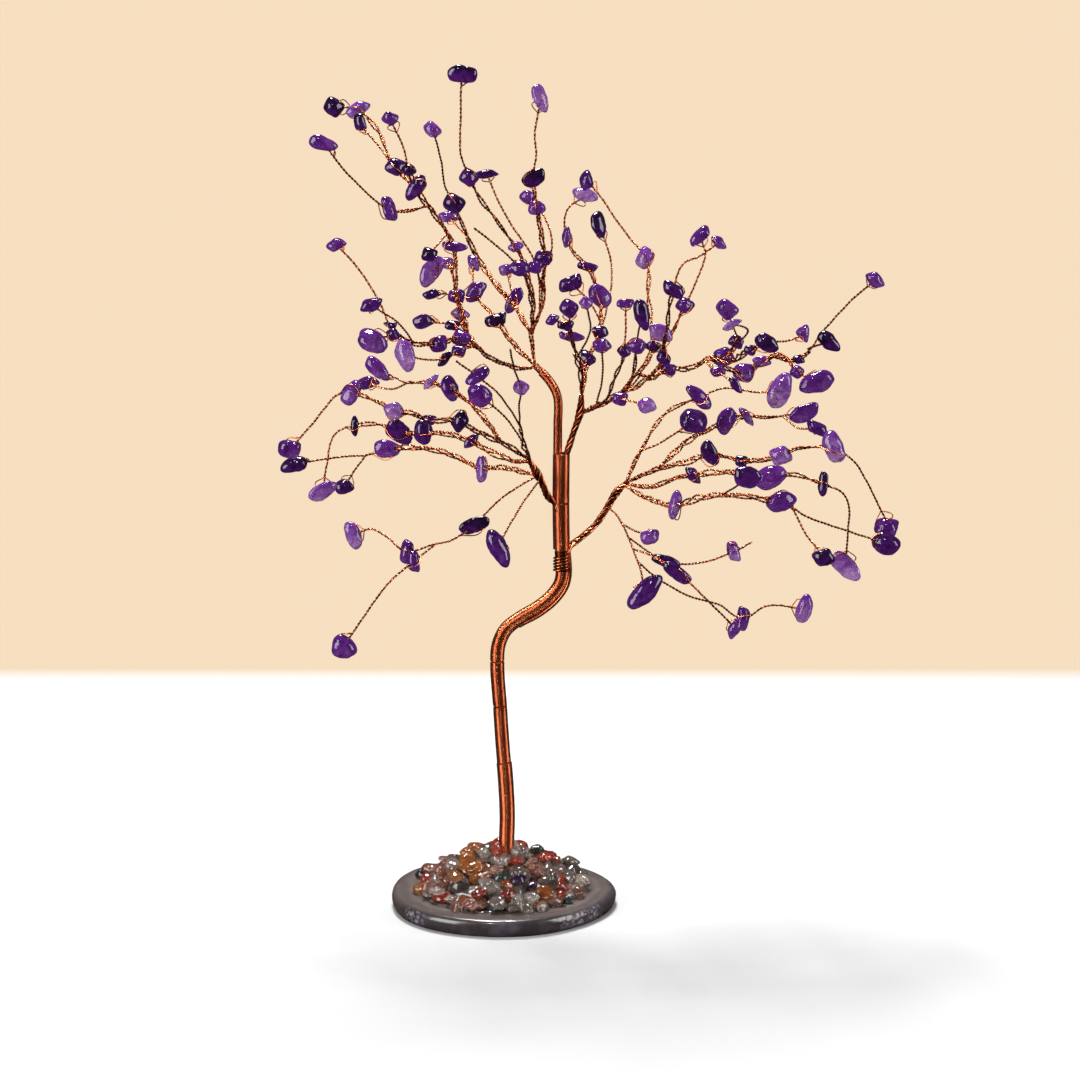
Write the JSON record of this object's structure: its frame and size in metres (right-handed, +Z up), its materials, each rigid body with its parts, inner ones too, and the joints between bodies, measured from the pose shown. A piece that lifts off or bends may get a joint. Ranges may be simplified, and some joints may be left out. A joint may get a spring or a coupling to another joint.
{
  "type": "gemstone tree ornament",
  "caption": "Small tree of twisted copper wire with drilled violet stone chips as leaves, its bound trunk set in a heap of pebbles on a polished agate slice.",
  "frame": {"origin": "middle of the agate slice's flat underside", "axes": "+Z up along the tree, +X to the right as the tree is seen from the front, -Y towards the viewer"},
  "size_m": [0.2152, 0.13, 0.2959],
  "materials": {
    "agate": "polished banded agate, grey-brown",
    "glue": "clear hard resin, wet look",
    "copper_wire": "bright bare copper wire",
    "amethyst": "tumbled translucent amethyst",
    "clear_quartz": "tumbled clear quartz",
    "smoky_quartz": "tumbled smoky quartz",
    "rose_quartz": "tumbled rose quartz",
    "amber": "tumbled honey-coloured stone",
    "red_jasper": "tumbled red-brown jasper",
    "green_aventurine": "tumbled dark green stone",
    "dark_amethyst": "tumbled dark amethyst"
  },
  "bodies": {
    "root": {"agate_base": "agate", "cluster_chips": "amethyst", "cluster_twigs": "copper_wire", "crook_wrap": "copper_wire", "crotch_wrap": "copper_wire", "crown_top_chips": "amethyst", "crown_top_twigs": "copper_wire", "foot_wrap": "copper_wire", "fork_binding": "copper_wire", "glue_bed": "glue", "heap_amber": "amber", "heap_clear_quartz": "clear_quartz", "heap_dark_amethyst": "dark_amethyst", "heap_green_aventurine": "green_aventurine", "heap_red_jasper": "red_jasper", "heap_rose_quartz": "rose_quartz", "heap_smoky_quartz": "smoky_quartz", "left_bottom_chips": "amethyst", "left_bottom_twigs": "copper_wire", "left_front_chips": "amethyst", "left_front_twigs": "copper_wire", "left_limb": "copper_wire", "left_lower_chips": "amethyst", "left_lower_twigs": "copper_wire", "left_middle_chips": "amethyst", "left_middle_twigs": "copper_wire", "lower_wrap": "copper_wire", "middle_back_chips": "amethyst", "middle_back_twigs": "copper_wire", "middle_front_chips": "amethyst", "middle_front_twigs": "copper_wire", "middle_limb": "copper_wire", "middle_right_chips": "amethyst", "middle_right_twigs": "copper_wire", "middle_wrap": "copper_wire", "right_bottom_chips": "amethyst", "right_bottom_twigs": "copper_wire", "right_limb": "copper_wire", "right_lower_chips": "amethyst", "right_lower_twigs": "copper_wire", "right_main_chips": "amethyst", "right_main_twigs": "copper_wire", "right_middle_chips": "amethyst", "right_middle_twigs": "copper_wire", "right_top_chips": "amethyst", "right_top_twigs": "copper_wire", "right_upper_chips": "amethyst", "right_upper_twigs": "copper_wire", "top_left_chips": "amethyst", "top_left_limb": "copper_wire", "top_left_twigs": "copper_wire", "trunk_core": "copper_wire", "upper_left_chips": "amethyst", "upper_left_twigs": "copper_wire", "upper_wrap": "copper_wire"}
  },
  "joints": []
}
